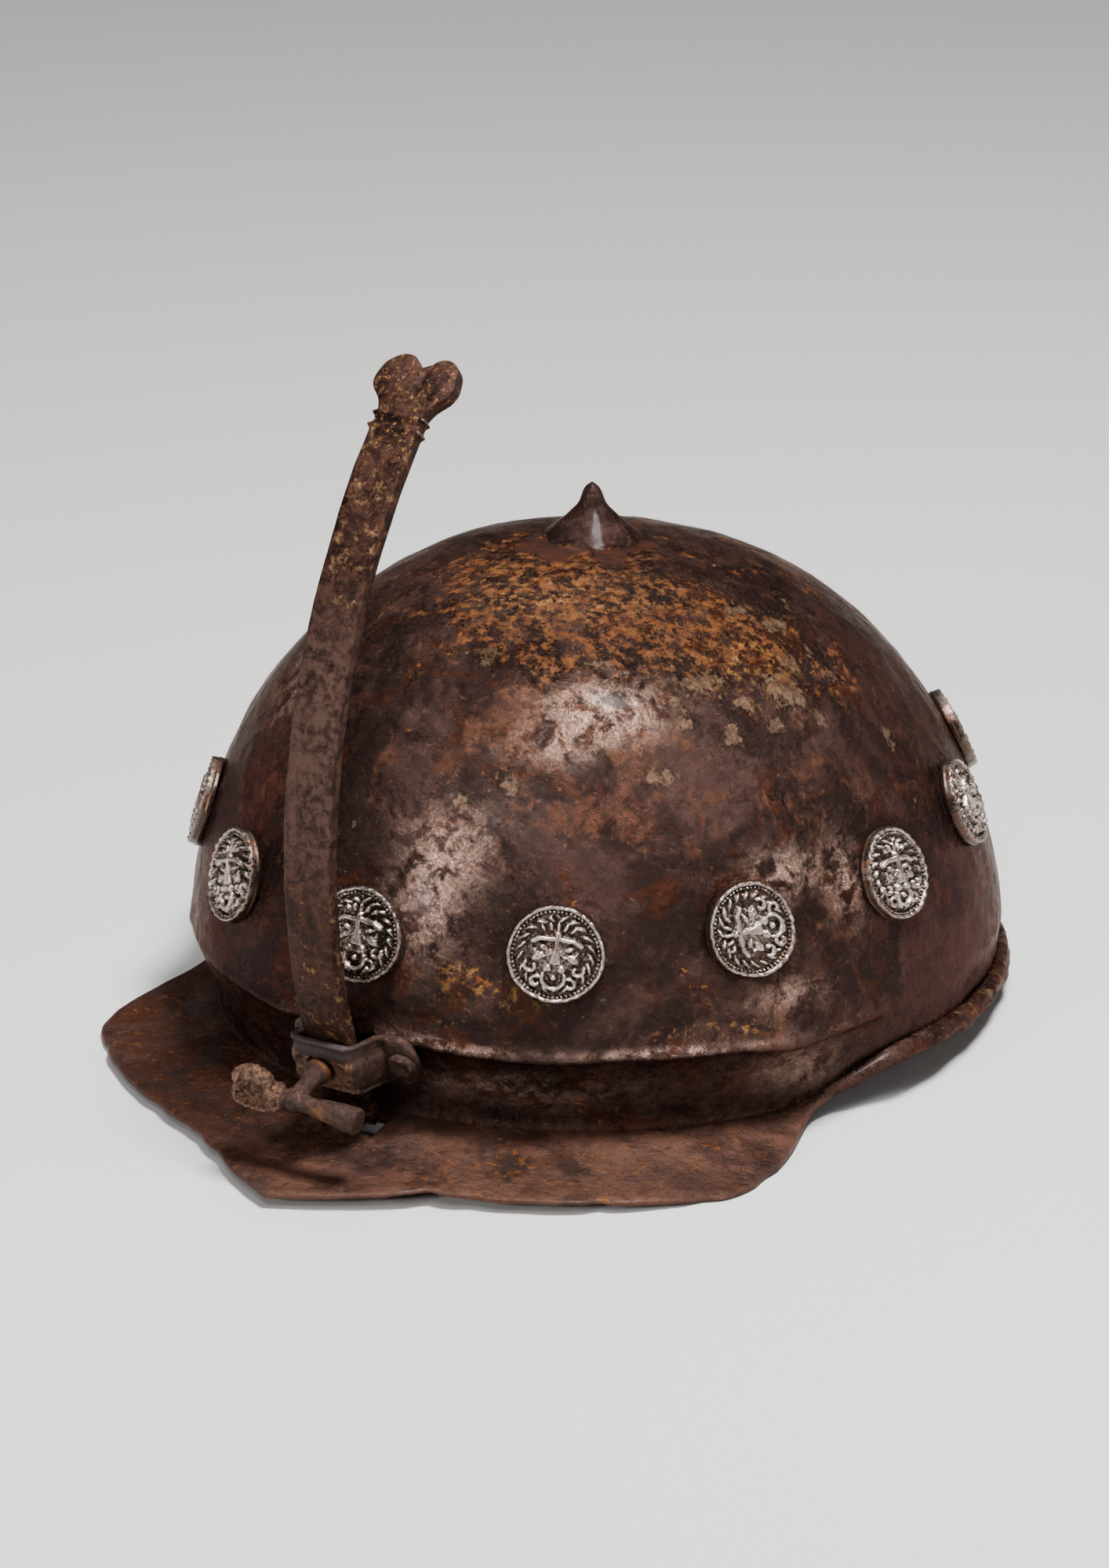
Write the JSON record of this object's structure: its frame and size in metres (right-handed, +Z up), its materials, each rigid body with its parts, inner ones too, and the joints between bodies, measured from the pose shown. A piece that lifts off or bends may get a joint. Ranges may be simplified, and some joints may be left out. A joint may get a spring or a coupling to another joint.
{
  "type": "hussar helmet",
  "caption": "Forged steel hussar helmet: domed skull with spike, peak and rolled nape edge, sliding nasal bar in a staple with thumb screw, and a ring of mask medallions.",
  "frame": {"origin": "centre of the bounding box's base, on the surface that the helmet rests on", "axes": "+Z up, -Y the front with the peak, +X the wearer's left"},
  "size_m": [0.2112, 0.2758, 0.1933],
  "materials": {
    "skull_steel": "old forged steel with a dark brown-black patina, satin gloss, grey and rust-coloured flakes",
    "nasal_steel": "grey-brown satin steel, rust-speckled towards both ends",
    "fitting_steel": "corroded dark steel with tan and ochre crust",
    "white_metal": "cast white metal, worn silvery on the high places and dark in the recesses"
  },
  "bodies": {
    "helmet": {"skull": "skull_steel", "staple": "fitting_steel", "rivet_left": "fitting_steel", "rivet_right": "fitting_steel", "medallion_01": "white_metal", "medallion_02": "white_metal", "medallion_03": "white_metal", "medallion_04": "white_metal", "medallion_05": "white_metal", "medallion_06": "white_metal", "medallion_07": "white_metal", "medallion_08": "white_metal", "medallion_09": "white_metal", "medallion_10": "white_metal", "medallion_11": "white_metal", "medallion_12": "white_metal", "medallion_13": "white_metal"},
    "nasal": {"nasal_bar": "nasal_steel"},
    "screw": {"thumb_screw": "fitting_steel"}
  },
  "joints": [
    {"name": "nasal_slide", "type": "hinge", "parent": "helmet", "child": "nasal", "pos_m": [0, 0.02918, 0.07809], "axis": [1, 0, 0], "range_deg": [0, 18]},
    {"name": "thumb_screw_turn", "type": "hinge", "parent": "helmet", "child": "screw", "pos_m": [0, -0.11301, 0.02728], "axis": [0, -0.9417, -0.3365], "range_deg": [0, 360]}
  ]
}
